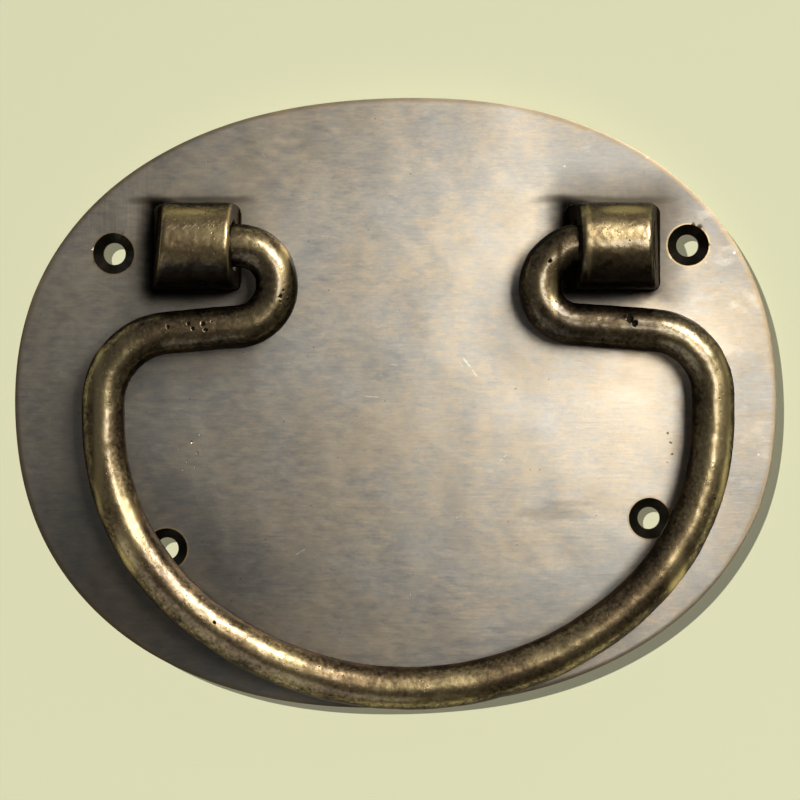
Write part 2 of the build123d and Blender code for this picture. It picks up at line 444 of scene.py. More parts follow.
def carve_lug(name, outward, outer_lean, inner_lean, skew):
    """One lug, from a round bar to a worn casting."""
    low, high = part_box(name)
    middle_x = (low.x + high.x) / 2
    height = plate_front - low.y
    ends = {outward: high.x if outward > 0 else low.x, -outward: low.x if outward > 0 else high.x}
    bar_length = 2 * (high.x - low.x)
    lug = cylinder(name + "_casting", "X", 96, lug_radius, bar_length, (middle_x, pivot.y, pivot.z))
    bpy.ops.object.mode_set(mode="EDIT")
    bpy.ops.mesh.select_all(action="SELECT")
    bpy.ops.mesh.bisect(plane_co=pivot, plane_no=(0, 1, 0), use_fill=True, clear_outer=True)
    pick(lug, "polygons", lambda middle, face: face.normal.y > 0.9)
    extrude(0, plate_front - pivot.y, 0)
    for side, lean, slant in ((outward, outer_lean, skew), (-outward, inner_lean, 0)):
        foot_x = ends[side] - side * foot_spread
        halfway = Vector((foot_x - side * lean / 2, plate_front - height / 2, pivot.z))
        # the cut's normal leans forward by the draft, and down by the skew
        normal = Vector((side, -lean / height, slant / (2 * lug_radius)))
        bpy.ops.mesh.select_all(action="SELECT")
        bpy.ops.mesh.bisect(plane_co=halfway, plane_no=normal, use_fill=True, clear_outer=True)
    nothing_selected()
    modify(lug, "BEVEL", width=mm(0.9), segments=3, limit_method="ANGLE", angle_limit=math.radians(50))
    inner_face = ends[-outward] + outward * (foot_spread + inner_lean / 2)
    cut_with(lug, bore_cutter(name + "_drill", inner_face, outward), "EXACT")
    return lug


def add_foot(lug, name):
    """The spreading foot: a thin slab, chamfered to the front, joined under the block."""
    low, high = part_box(name)
    nothing_selected()
    bpy.ops.mesh.primitive_cube_add(
        size=1,
        scale=(high.x - low.x, foot_height, high.z - low.z),
        location=((low.x + high.x) / 2, plate_front - foot_height / 2, pivot.z),
    )
    foot = start_piece("foot")
    bpy.ops.object.mode_set(mode="EDIT")
    pick(foot, "polygons", lambda middle, face: face.normal.y < -0.9)
    shrink = 1 - 2.4 * foot_spread / (high.z - low.z)
    bpy.ops.transform.resize(value=(shrink, 1, shrink))
    half_way_up = plate_front - foot_height / 2
    pick(foot, "edges", lambda middle, edge: abs(middle.y - half_way_up) < mm(0.05))
    bpy.ops.mesh.bevel(offset=mm(1.6), segments=4, affect="EDGES")
    return joined([lug, foot])


def away_from_bore(point):
    """1 on the lug's outside, 0 inside the bore."""
    radius = math.hypot(point.y - pivot.y, point.z - pivot.z)
    return 0.0 if radius < bore_radius + mm(0.3) else 1.0


lugs = {}
for name, shape in lug_shapes.items():
    lug = add_foot(carve_lug(name, **shape), name)
    modify(lug, "REMESH", mode="VOXEL", voxel_size=mm(0.22), use_smooth_shade=True)
    modify(lug, "SMOOTH", factor=0.5, iterations=12)
    outside = weights(lug, "outside", away_from_bore)
    lug_skin = ((name + "_cast", 4.5, 0.2), (name + "_filed", 1.3, 0.05))
    roughen(lug, lug_skin, mid_level=1.0, vertex_group=outside)
    only(lug)
    bpy.ops.object.shade_smooth()
    lugs[name] = lug
    faces_of(lug)

# %% [markdown]
# ## The back plate: a broad oval, a little squarer than an ellipse
# A disc scaled to an ellipse would be too pointed at its ends. So a coarse ring of sixteen points is
# stretched to the oval, its diagonal points are pushed out a little, and a Subdivision Surface
# rounds the cage into one smooth outline, the way a flexible batten is sprung round a few pins.

# %% Shape the oval and give it thickness


def outline_radius(angle):
    """How far out the squarish oval of unit size runs in this direction."""
    powered = math.cos(angle) ** plate_squareness + math.sin(angle) ** plate_squareness
    return powered ** (-1 / plate_squareness)


# a subdivided outline passes through a sixth of (4 x a cage point + its two neighbours),
# so the three kinds of cage point are placed to bring it back to the oval
turn = math.cos(math.pi / 8)
between_radius = outline_radius(math.pi / 8)
diagonal_radius = outline_radius(math.pi / 4)
between_cage = (6 * between_radius - turn * (6 + 6 * diagonal_radius) / 4) / (4 - turn ** 2)
tip_cage = (6 - 2 * between_cage * turn) / 4
diagonal_cage = (6 * diagonal_radius - 2 * between_cage * turn) / 4
nothing_selected()
bpy.ops.mesh.primitive_circle_add(
    vertices=16,
    radius=1,
    fill_type="NOTHING",
    location=(0, plate_front, 0),
    rotation=(math.pi / 2, 0, 0),
)
plate = start_piece("oval_plate")
bpy.ops.object.mode_set(mode="EDIT")
for angle, reach in ((0, tip_cage), (math.pi / 8, between_cage), (math.pi / 4, diagonal_cage)):
    wanted = {round(math.cos(angle), 3), round(math.sin(angle), 3)}
    pick(plate, "vertices", lambda co, v: {round(abs(co.x), 3), round(abs(co.z), 3)} == wanted)
    bpy.ops.transform.resize(value=(reach, 1, reach), center_override=(0, plate_front, 0))
bpy.ops.mesh.select_all(action="SELECT")
bpy.ops.transform.resize(
    value=(plate_half_width, 1, plate_half_height),
    center_override=(0, plate_front, 0),
)
bpy.ops.mesh.fill_grid(span=4)
nothing_selected()
plate.rotation_euler.y = -plate_tilt
plate.location.x = plate_middle_x
only(plate)
bpy.ops.object.transform_apply(location=True, rotation=True)
modify(plate, "SUBSURF", levels=5, render_levels=5)
bpy.ops.object.mode_set(mode="EDIT")
bpy.ops.mesh.select_all(action="SELECT")
extrude(0, plate_thickness, 0)
bpy.ops.mesh.select_all(action="SELECT")
bpy.ops.mesh.normals_make_consistent(inside=False)
nothing_selected()
modify(plate, "BEVEL", width=mm(0.35), segments=3, limit_method="ANGLE", angle_limit=math.radians(50))
faces_of(plate)
print("plate is", [round(v * 1000, 2) for v in plate.dimensions], "mm")

# %% [markdown]
# ### Drill and countersink the plate
# Four holes take the wood screws for the door, and four more, from behind, take the machine screws
# that hold the lugs. Each drill is a cylinder whose end is extruded and widened into the
# countersink, then once more by a hair, to break the sharp edge.

# %% A drill with its countersink


def countersink_drill(x, z, hole_radius, sink_radius, face_y, into, flat=0.0):
    """A cutter whose wide end opens at face_y. into is +1 for a hole that goes towards the door."""
    sink_depth = sink_radius - hole_radius
    length = mm(6)
    middle = (x, face_y + into * (flat + sink_depth + length / 2), z)
    drill = cylinder("drill", "Y", 64, hole_radius, length, middle)
    bpy.ops.object.mode_set(mode="EDIT")
    pick(drill, "polygons", lambda middle, face: face.normal.y * into < -0.9)
    edge_break = mm(0.1)
    widened = sink_radius / hole_radius
    broken = (sink_radius + edge_break) / sink_radius
    extrude(0, -into * sink_depth, 0)
    bpy.ops.transform.resize(value=(widened, 1, widened))
    extrude(0, -into * max(flat, edge_break), 0)
    bpy.ops.transform.resize(value=(broken, 1, broken))
    extrude(0, -into * mm(2), 0)
    nothing_selected()
    return drill


drills = []
for x, z in mounting_holes:
    drills.append(countersink_drill(x, z, screw_hole_radius, countersink_radius, plate_front, 1))
for screw in lug_screws:
    low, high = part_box(screw)
    x, z = (low.x + high.x) / 2, (low.z + high.z) / 2
    sink_radius = (high.x - low.x) / 2 + mm(0.15)
    drills.append(countersink_drill(x, z, lug_screw_hole_radius, sink_radius, plate_back, -1, flat=mm(0.15)))
cut_with(plate, joined(drills), "EXACT")
faces_of(plate)

# %% Cut the plate's pinholes

plate_pinholes = [
    (-41.4, -8.0, 0.34, 0.4, 0.3),
    (-40.4, -10.1, 0.28, 0.3, 0.25),
    (-42.6, -11.9, 0.2, 0.22, 0.2),
    (-43.4, -13.6, 0.26, 0.2, 0.2),
    (-40.9, -13.2, 0.18, 0.18, 0.2),
    (-39.9, -6.4, 0.2, 0.2, 0.2),
    (-44.1, -9.4, 0.15, 0.16, 0.15),
    (55.3, -6.2, 0.22, 0.3, 0.25),
    (55.9, -8.1, 0.28, 0.24, 0.25),
    (56.2, -10.4, 0.2, 0.26, 0.2),
    (55.2, -12.1, 0.18, 0.16, 0.2),
    (-26.7, 50.4, 0.22, 0.2, 0.2),
    (-38.4, 49.0, 0.16, 0.2, 0.15),
    (12.6, -23.4, 0.2, 0.16, 0.15),
    (3.1, -38.9, 0.18, 0.2, 0.15),
    (24.4, 2.9, 0.16, 0.18, 0.15),
    (-11.8, 24.6, 0.18, 0.16, 0.15),
    (66.2, 7.7, 0.2, 0.2, 0.15),
    (-64.5, -2.2, 0.2, 0.22, 0.2),
]
cut_pits(plate, plate_pinholes)

# %% [markdown]
# ### Waves in the face and wear round the rim
# A hand-finished face shows slight waves in its reflections, so the front is rippled by about a tenth
# of a millimetre. The rim is nibbled inwards only, so the plate never grows past its size.

# %% Ripple the front and wear the rim


def on_the_front(point):
    """1 on the front face, 0 on the edge and the back."""
    return 1.0 if point.y < plate_front + mm(0.2) else 0.0


def how_far_out(point):
    """0 at the plate's middle and 1 on its outline, whatever the direction."""
    x = point.x * math.cos(plate_tilt) + point.z * math.sin(plate_tilt)
    z = point.z * math.cos(plate_tilt) - point.x * math.sin(plate_tilt)
    powered = abs(x / plate_half_width) ** plate_squareness + abs(z / plate_half_height) ** plate_squareness
    return powered ** (1 / plate_squareness)


def on_the_rim(point):
    """1 along the plate's edge, fading over its bevels to 0 at the two faces."""
    from_a_face = min(point.y - plate_front, plate_back - point.y)
    if from_a_face < mm(0.03) or how_far_out(point) < 0.985:
        return 0.0
    return min(1.0, from_a_face / mm(0.35))


front = weights(plate, "front", on_the_front)
rim = weights(plate, "rim", on_the_rim)
front_layers = (("waves", 26.0, 0.3), ("ripples", 7.0, 0.05))
roughen(plate, front_layers, direction="Y", mid_level=0.5, vertex_group=front)
rim_layers = (("filed_rim", 9.0, 0.22), ("knocked_rim", 1.8, 0.14))
roughen(plate, rim_layers, mid_level=1.0, vertex_group=rim)
only(plate)
bpy.ops.object.shade_smooth_by_angle(angle=math.radians(35))
faces_of(plate)

# %% [markdown]
# ## The four screws behind the lugs
# Nobody sees these once the knocker is on a door, but they hold the lugs. One slotted countersunk
# screw is turned from a short bar, its slot is sawn, and it is copied to the other three places.

# %% Turn one screw and copy it


def turn_screw(name, node):
    """A countersunk screw at a CAD screw's place, head towards the door."""
    low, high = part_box(node)
    head_radius = (high.x - low.x) / 2
    shank_radius = mm(1.95)
    head_depth = head_radius - shank_radius
    middle = ((low.x + high.x) / 2, (low.y + high.y - head_depth) / 2, (low.z + high.z) / 2)
    screw = cylinder(name, "Y", 48, shank_radius, high.y - low.y - head_depth, middle)
    bpy.ops.object.mode_set(mode="EDIT")
    pick(screw, "polygons", lambda centre, face: face.normal.y > 0.9)
    extrude(0, head_depth * 0.94, 0)
    widen = head_radius / shank_radius
    bpy.ops.transform.resize(value=(widen, 1, widen))
    extrude(0, head_depth * 0.06, 0)
    bpy.ops.transform.resize(value=(0.97, 1, 0.97))
    nothing_selected()
    bpy.ops.mesh.primitive_cube_add(
        size=1,
        scale=(3 * head_radius, mm(1.8), mm(1.0)),
        location=(middle[0], high.y, middle[2]),
        rotation=(0, math.radians(-30), 0),
    )
    saw = start_piece("slot_saw")
    cut_with(screw, saw, "EXACT")
    modify(screw, "BEVEL", width=mm(0.07), segments=2, limit_method="ANGLE", angle_limit=math.radians(40))
    only(screw)
    bpy.ops.object.shade_smooth_by_angle(angle=math.radians(35))
    return screw


first_screw = turn_screw("lug_screw_1", lug_screws[0])
screws = [first_screw]
first_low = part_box(lug_screws[0])[0]
for number, node in enumerate(lug_screws[1:], start=2):
    only(first_screw)
    bpy.ops.object.duplicate()
    screw = bpy.context.object
    screw.name = screw.data.name = f"lug_screw_{number}"
    screw.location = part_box(node)[0] - first_low
    bpy.ops.object.transform_apply(location=True)
    screws.append(screw)
for screw in screws:
    faces_of(screw)

# %% [markdown]
# ## Finishes
# A finish is a small graph of shader nodes. Writing the graph as sums keeps it readable, so a
# `Wire` stands for one socket, and adding or multiplying wires adds the Math nodes. A `Finish` is one
# material, and its `node` method adds any other node. All patterns read the piece's own place in
# metres, so a two millimetre mottle stays two millimetres wide.

# %% A wire that does sums, a graph that adds nodes, and a finish


class Wire:
    """One output socket. Sums on it become Math nodes."""

    def __init__(self, finish, socket):
        self.finish = finish
        self.socket = socket

    def maths(self, operation, *values):
        return self.finish.node("ShaderNodeMath", {"operation": operation}, dict(enumerate(values)))

    def __add__(self, other):
        return self.maths("ADD", self, other)

    __radd__ = __add__

    def __sub__(self, other):
        return self.maths("SUBTRACT", self, other)

    def __rsub__(self, other):
        return self.maths("SUBTRACT", other, self)

    def __mul__(self, other):
        return self.maths("MULTIPLY", self, other)

    __rmul__ = __mul__

    def __truediv__(self, other):
        return self.maths("DIVIDE", self, other)

    def __pow__(self, other):
        return self.maths("POWER", self, other)

    def __abs__(self):
        return self.maths("ABSOLUTE", self)

    def at_least(self, other):
        return self.maths("MAXIMUM", self, other)

    def step(self, low, high):
        """0 below low and 1 above high, with a soft step between them."""
        settings = {"interpolation_type": "SMOOTHSTEP"}
        inputs = {"Value": self, "From Min": low, "From Max": high}
        return self.finish.node("ShaderNodeMapRange", settings, inputs)


class Graph:
    """A tree of shader nodes, emptied, and one method that adds any node to it."""

    def __init__(self, owner):
        owner.use_nodes = True
        self.tree = owner.node_tree
        self.tree.nodes.clear()

    def node(self, kind, settings=None, inputs=None, output=0):
        """Add any node: its settings first, then the values or wires of its sockets."""
        made = self.tree.nodes.new(kind)
        for name, value in (settings or {}).items():
            setattr(made, name, value)
        for name, value in (inputs or {}).items():
            if isinstance(value, Wire):
                self.tree.links.new(value.socket, made.inputs[name])
            else:
                made.inputs[name].default_value = value
        return Wire(self, made.outputs[output]) if made.outputs else made

    def split(self, vector):
        """The three parts of a vector."""
        parts = self.node("ShaderNodeSeparateXYZ", inputs={0: vector}).socket.node
        return [Wire(self, parts.outputs[axis]) for axis in ("X", "Y", "Z")]

    def mix(self, mask, first, second):
        """One colour where the mask is 0 and the other where it is 1."""
        colours = [c if isinstance(c, Wire) else (*c, 1.0) for c in (first, second)]
        inputs = {0: mask, 6: colours[0], 7: colours[1]}
        return self.node("ShaderNodeMix", {"data_type": "RGBA", "clamp_factor": True}, inputs, output=2)


class Finish(Graph):
    """One material, and the patterns that its colours are made from."""

    def __init__(self, name):
        self.material = bpy.data.materials.new(name)
        super().__init__(self.material)
        self.place = self.node("ShaderNodeTexCoord", output="Object")
        self.facing = self.node("ShaderNodeTexCoord", output="Normal")
        self.x, self.y, self.z = self.split(self.place)

    def mottle(self, size, detail=3.0, rough=0.55, stretch=(1, 1, 1), shift=(0, 0, 0)):
        """Cloudy noise from 0 to 1 with patches of about this size. A stretch draws it out."""
        moved = self.node("ShaderNodeVectorMath", {"operation": "ADD"}, {0: self.place, 1: shift})
        shrunk = tuple(1 / s for s in stretch)
        drawn = self.node("ShaderNodeVectorMath", {"operation": "MULTIPLY"}, {0: moved, 1: shrunk})
        inputs = {"Vector": drawn, "Scale": 1 / size, "Detail": detail, "Roughness": rough}
        return self.node("ShaderNodeTexNoise", inputs=inputs)

    def specks(self, size, threshold, shift=(0, 0, 0)):
        """Scattered round specks: 1 inside a speck and 0 outside."""
        moved = self.node("ShaderNodeVectorMath", {"operation": "ADD"}, {0: self.place, 1: shift})
        distance = self.node("ShaderNodeTexVoronoi", inputs={"Vector": moved, "Scale": 1 / size})
        return 1 - distance.step(threshold * 0.6, threshold)

    def shade(self, colour, amount):
        """A colour made lighter or darker by a value."""
        inputs = {0: colour, "Scale": amount}
        return self.node("ShaderNodeVectorMath", {"operation": "SCALE"}, inputs)

    def spot(self, x, z, radius_x, radius_z, edge=0.5, ragged=None):
        """1 inside an oval spot on the front, in millimetres, fading out past it."""
        across = (self.x - mm(x)) / mm(radius_x)
        up = (self.z - mm(z)) / mm(radius_z)
        distance = (across * across + up * up) ** 0.5
        if ragged is not None:
            distance = distance + ragged
        return 1 - distance.step(1 - edge, 1 + edge)

    def scratch(self, start, end, width):
        """1 along a straight mark from start to end, in millimetres."""
        run = Vector(end) - Vector(start)
        along_x, along_z = run.normalized()
        from_x, from_z = self.x - mm(start[0]), self.z - mm(start[1])
        along = from_x * along_x + from_z * along_z
        across = abs(from_z * along_x - from_x * along_z)
        inside = along.step(0, mm(0.6)) * (1 - along.step(mm(run.length - 0.6), mm(run.length)))
        return inside * (1 - across.step(mm(width * 0.25), mm(width)))

    def finished(self, colour, roughness, height, relief, wax=None):
        """Close the graph: a metal of this colour with a fine relief, and wax where it was rubbed."""
        bumped = self.node("ShaderNodeBump", inputs={"Height": height, "Strength": 1.0, "Distance": relief})
        inputs = {"Base Color": colour, "Roughness": roughness, "Metallic": 1.0, "Normal": bumped}
        if wax is not None:
            inputs |= {"Coat Weight": wax, "Coat Roughness": 0.17, "Coat IOR": 1.75}
            inputs["Specular Tint"] = (0.3, 0.26, 0.2, 1.0)
        metal = self.node("ShaderNodeBsdfPrincipled", inputs=inputs)
        self.node("ShaderNodeOutputMaterial", inputs={"Surface": metal})
        print(self.material.name, "has", len(self.tree.nodes), "nodes")
        return self.material


def any_of(masks):
    """Where any of these masks is on."""
    together = masks[0]
    for mask in masks[1:]:
        together = together.at_least(mask)
    return together


def coat_with(piece, material):
    """Give a piece one finish all over."""
    piece.data.materials.clear()
    piece.data.materials.append(material)


# %% [markdown]
# ### The plate's finish: rubbed bronze, mottled grey and tan
# The plate was brushed across and then left to darken, tan where the metal is barer and grey where the
# patina is thicker. The brush never reached close to the lugs, so a dark halo is left round them,
# and the rubbed rim shows gold. Painted shade darkens the plate towards its left, its foot, its corners
# and its edges, a painted shadow lies to the left of and below each lug, and painted glints fleck it.

# %% The plate's finish

bronze = Finish("rubbed_bronze")
broad = bronze.mottle(mm(30), detail=3)
middling = bronze.mottle(mm(9), detail=4, shift=(0.3, 0, 0))
small = bronze.mottle(mm(1.5), detail=4, stretch=(2.2, 1, 1), shift=(0.7, 0, 0))
grain = bronze.mottle(mm(0.35), detail=2)
brushing = bronze.mottle(mm(0.22), detail=2, stretch=(26, 26, 1))
long_brushing = bronze.mottle(mm(0.9), detail=3, stretch=(20, 20, 1), shift=(0, 0, 0.2))
soft_rubs = bronze.mottle(mm(5), detail=5, rough=0.65, stretch=(1.6, 1, 1), shift=(0, 0, 0.5))

speckle = bronze.mottle(mm(0.5), detail=5, rough=0.7, stretch=(3.5, 1, 1), shift=(0.9, 0, 0))
warmth = (broad * 0.28 + middling * 0.24 + small * 0.24 + speckle * 0.24).step(0.4, 0.6)
grey_bronze = (0.66, 0.63, 0.565)
tan_bronze = (0.84, 0.695, 0.50)
colour = bronze.mix(warmth, grey_bronze, tan_bronze)

# painted shade, mottled: the plate darkens towards the left and the foot, away from the light
painted_left_shade = (bronze.x * (-1 / mm(60)) - bronze.z * (0.35 / mm(60)) + (middling - 0.5) * 0.9).step(-0.6, 1.7)
colour = bronze.mix(painted_left_shade * 0.6, colour, (0.37, 0.355, 0.30))
lightness = 0.58 + small * 0.14 + speckle * 0.34 + grain * 0.1
lightness = lightness + brushing * 0.14 + long_brushing * 0.1
colour = bronze.shade(colour, lightness)
upright = bronze.mottle(mm(0.35), detail=2, stretch=(1, 1, 22), shift=(0, 0, 0.8))
filed_place = bronze.spot(-56, 40, 11, 15, edge=0.6, ragged=(broad - 0.5) * 0.8)
colour = bronze.shade(colour, 1.0 + filed_place * (upright - 0.55) * 0.5)

# painted shade: the plate darkened in two corners, at the right end and along the top edge
shade_raggedness = (broad - 0.5) * 0.8
upper_right = bronze.spot(66, 46, 30, 26, edge=0.75, ragged=shade_raggedness)
lower_left = bronze.spot(-54, -46, 34, 26, edge=0.75, ragged=shade_raggedness)
right_end = bronze.spot(82, 2, 20, 60, edge=0.7, ragged=shade_raggedness)
top_edge = (bronze.z + (broad - 0.5) * mm(14)).step(mm(28), mm(62))
painted_edge_shade = (1.0 - upper_right * 0.5 - lower_left * 0.5) * (1 - right_end * 0.44) * (1 - top_edge * 0.26)
colour = bronze.shade(colour, painted_edge_shade)

# rubbed places, painted glints, dark dots and streaks
rubs = soft_rubs.step(0.52, 0.68) * (1 - painted_left_shade)
colour = bronze.mix(rubs * 0.2, colour, (0.9, 0.8, 0.62))
painted_glints = bronze.specks(mm(5.5), 0.06, shift=(0.2, 0, 0.6)) * soft_rubs.step(0.45, 0.6) * (1 - painted_left_shade)
colour = bronze.mix(painted_glints * 0.6, colour, (0.95, 0.86, 0.66))
dots = bronze.specks(mm(4.2), 0.045, shift=(0.5, 0, 0.1))
colour = bronze.mix(dots * 0.6, colour, (0.12, 0.1, 0.07))
stain_edges = (middling - 0.5) * 1.5 + (small - 0.5) * 0.7
streak_places = ((32, -22.5, 7, 1.2), (36, -20.5, 5, 0.7), (-31, 33, 3.5, 2.6), (57, 38.6, 1.2, 1.0))
streaks = any_of([bronze.spot(*place, ragged=stain_edges) for place in streak_places])
colour = bronze.mix(streaks * 0.3, colour, (0.2, 0.165, 0.12))

# a dark halo round each lug, with a witness line just above it
halos, lug_shadows, witness_lines = [], [], []
for name in lug_shapes:
    low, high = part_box(name)
    half_wide, half_high = (high.x - low.x) / 2 - foot_spread, (high.z - low.z) / 2 - foot_spread
    from_middle_x, from_middle_z = bronze.x - (low.x + high.x) / 2, bronze.z - pivot.z
    out_x = (abs(from_middle_x) - half_wide).at_least(0)
    out_z = (abs(from_middle_z) - half_high).at_least(0)
    away = (out_x * out_x + out_z * out_z) ** 0.5
    ragged = (broad - 0.5) * mm(9) + (middling - 0.5) * mm(5) + (small - 0.5) * mm(1.5)
    halos.append(1 - (away + ragged).step(mm(-1.5), mm(8)))
    # painted shadow: a near-black band on the left of each lug and below it, widest there
    shadow_side = (from_middle_x * -0.6 + from_middle_z * -0.4 + ragged * 0.3).step(mm(-4), mm(5))
    shadow_width = mm(0.4) + shadow_side * mm(4.2)
    in_painted_shadow = 1 - (away + (small - 0.5) * mm(1)).step(mm(0.1), shadow_width)
    lug_shadows.append(in_painted_shadow * shadow_side.step(0, 0.4))
    line_z = pivot.z + half_high + mm(1.1)
    line = 1 - abs(bronze.z - line_z + (middling - 0.5) * mm(1.6)).step(mm(0.2), mm(1.2))
    line = line * (1 - abs(from_middle_x + half_wide * 0.2).step(half_wide * 0.9, half_wide * 1.8))
    witness_lines.append(line)
halo = any_of(halos)
lug_shadow = any_of(lug_shadows)
colour = bronze.mix(halo * 0.78, colour, (0.1, 0.08, 0.058))
colour = bronze.mix(any_of(witness_lines) * 0.7, colour, (0.07, 0.055, 0.035))
# painted shadow next to the lugs, nearly black
colour = bronze.mix(lug_shadow * 0.99, colour, (0.002, 0.002, 0.0015))

# pale scratches left by something sharp
pale_marks = (
    ((13.6, 9.3), (15.4, 7.0), 0.3),
    ((15.4, 7.0), (16.6, 5.2), 0.22),
    ((12.9, 8.3), (13.8, 7.2), 0.16),
    ((-6.5, 1.4), (-3.2, 1.1), 0.16),
    ((-1.5, 7.9), (0.6, 7.6), 0.14),
    ((21.0, -12.0), (22.6, -10.4), 0.15),
    ((-20.5, -31.0), (-18.2, -29.6), 0.14),
    ((36.0, 8.3), (38.5, 8.0), 0.14),
)
pale = any_of([bronze.scratch(*mark) for mark in pale_marks])
colour = bronze.mix(pale * (speckle + grain).step(0.78, 1.0), colour, (1.0, 0.93, 0.78))

# the rim, rubbed through to gold
tilt_cos, tilt_sin = math.cos(plate_tilt), math.sin(plate_tilt)
long_way = abs(bronze.x * tilt_cos + bronze.z * tilt_sin) / plate_half_width
short_way = abs(bronze.z * tilt_cos - bronze.x * tilt_sin) / plate_half_height
out = (long_way ** plate_squareness + short_way ** plate_squareness) ** (1 / plate_squareness)
rim_band = (out + (small - 0.5) * 0.012 + (middling - 0.5) * 0.012).step(0.982, 0.994)
colour = bronze.mix(rim_band * 0.6, colour, (0.36, 0.25, 0.12))

# countersinks, dark inside a thin bright rim
inside_holes, hole_rims = [], []
for x, z in mounting_holes:
    radius = ((bronze.x - x) ** 2.0 + (bronze.z - z) ** 2.0) ** 0.5
    inside_holes.append(1 - radius.step(countersink_radius - mm(0.1), countersink_radius + mm(0.02)))
    hole_rims.append(1 - abs(radius - countersink_radius - mm(0.12)).step(mm(0.08), mm(0.3)))
colour = bronze.mix(any_of(hole_rims) * 0.7, colour, (0.62, 0.45, 0.22))
colour = bronze.mix(any_of(inside_holes) * 0.93, colour, (0.03, 0.024, 0.017))

# the back and the pits keep their dark cast skin
front_facing = bronze.split(bronze.facing)[1] * -1
back_side = 1 - front_facing.step(-0.55, -0.3)
cast_skin = bronze.mix(bronze.mottle(mm(3), detail=5), (0.12, 0.095, 0.06), (0.22, 0.17, 0.1))
colour = bronze.mix(back_side, colour, cast_skin)

roughness = 0.345 + (small - 0.5) * 0.12 + (middling - 0.5) * 0.08
roughness = roughness + halo * (1 - back_side) * 0.14 + back_side * 0.12
relief = brushing * 0.35 + long_brushing * 0.2 + small * 0.4 + grain * 0.25
plate_bronze = bronze.finished(colour, roughness, relief, mm(0.02))

# %% [markdown]
# ### The rod's and the lugs' finish: antique brass
# Years of polish lie dark in every hollow and on the sides nobody touches, and hands have rubbed the
# front back to gold. So the mask follows the way the surface faces, broken up by noise at three
# sizes, with dark specks for pits. Painted shade darkens the undersides and the part next to the plate,
# painted highlights lie along the rods and the lugs, and the metal is brighter low down.

# %% The antique brass recipe


def antique_brass(name, shift, gold_and_highlight_spots, gold_at, ragged_by=1.0, **wear):
    """Dark brass, rubbed golden on the front, with painted shade below and next to the plate.
    gold_and_highlight_spots are worn gold and painted highlights; dull_and_shaded places are dark patina and
    painted shade.
    """
    pits, marks, dull_and_shaded = (wear.get(places, ()) for places in ("pits", "marks", "dull_and_shaded"))
    shine, shade_below, sheen_and_polish_low = wear["shine"], wear.get("shade_below", 0.0), wear.get("sheen_and_polish_low", 0.0)
    brass = Finish(name)
    broad = brass.mottle(mm(14), detail=3, shift=shift)
    middling = brass.mottle(mm(3.2), detail=4, shift=shift)
    small = brass.mottle(mm(0.8), detail=4, shift=shift)
    grain = brass.mottle(mm(0.22), detail=2, shift=shift)
    _, backwards, upwards = brass.split(brass.facing)
    front_facing = backwards * -1
    # painted shade on the faces that look down
    shade_underneath = (upwards * -1).step(0.15, 0.9) * shade_below
    ragged = ((broad - 0.5) * 0.7 + (middling - 0.5) * 0.45 + (small - 0.5) * 0.7) * ragged_by
    rubbed = (front_facing - shade_underneath + ragged).step(*gold_at)
    # dull places: dark patina, and painted shade that narrows a highlight
    if dull_and_shaded:
        rubbed = rubbed * (1 - any_of([brass.spot(*place, ragged=ragged) for place in dull_and_shaded]) * 0.6)
    patina = brass.mix(middling.step(0.35, 0.65), (0.022, 0.016, 0.01), (0.06, 0.043, 0.025))
    dull_gold, clear_gold = (0.25, 0.175, 0.085), (0.36, 0.275, 0.13)
    dull_gold, clear_gold = ([shine * v for v in gold] for gold in (dull_gold, clear_gold))
    worn = brass.mix(broad.step(0.38, 0.62), dull_gold, clear_gold)
    colour = brass.mix(rubbed, patina, worn)
    # worn gold spots, and painted highlights along the rods and the lugs' ends
    more = any_of([brass.spot(*place, ragged=ragged) for place in gold_and_highlight_spots]) * front_facing.step(0.0, 0.5)
    colour = brass.mix(more * 0.6, colour, (0.6, 0.46, 0.22))
    if marks:
        scratched = any_of([brass.scratch(*mark) for mark in marks])
        colour = brass.mix(scratched * 0.85, colour, (0.95, 0.8, 0.5))
    # painted highlight: the metal is brighter low down, where hands also polish it
    brightened_low = (brass.z * -1).step(mm(-18), mm(25)) * sheen_and_polish_low
    colour = brass.shade(colour, (0.74 + grain * 0.22 + small * 0.3) * (1 + brightened_low))

    # dirt lies in the pits; painted shade darkens the part next to the plate and the undersides
    specks = brass.specks(mm(1.4), 0.2, shift=shift) * small.step(0.45, 0.6)
    fine_specks = brass.specks(mm(0.6), 0.26, shift=(0.4, 0, 0.1)) * middling.step(0.45, 0.6)
    hollows = [specks * 0.75, fine_specks * 0.75]
    hollows += [brass.spot(x, z, wide * 0.9, high * 0.9, edge=0.35) for x, z, wide, high, depth in pits]
    # painted shade, near black, on the part nearest the plate
    corner = (brass.y + (small - 0.5) * mm(1.2)).step(plate_front - mm(2.6), plate_front - mm(0.7))
    dirt_and_shade = any_of(hollows + [corner * 0.9, shade_underneath * 0.7])
    colour = brass.mix(dirt_and_shade * 0.93, colour, (0.012, 0.009, 0.006))
    glints = brass.specks(mm(0.9), 0.16, shift=(0.1, 0.2, 0.3)) * rubbed * (1 - dirt_and_shade)
    colour = brass.mix(glints * 0.5, colour, (0.8, 0.66, 0.4))
    roughness = 0.31 + (1 - rubbed) * 0.12 + (small - 0.5) * 0.14 + (grain - 0.5) * 0.1 + dirt_and_shade * 0.25
    relief = small * 0.5 + middling * 0.4 + grain * 0.3 - dirt_and_shade * 0.8
    return brass.finished(colour, roughness, relief, mm(0.045), wax=(1 - dirt_and_shade) * (0.2 + rubbed * 0.7))


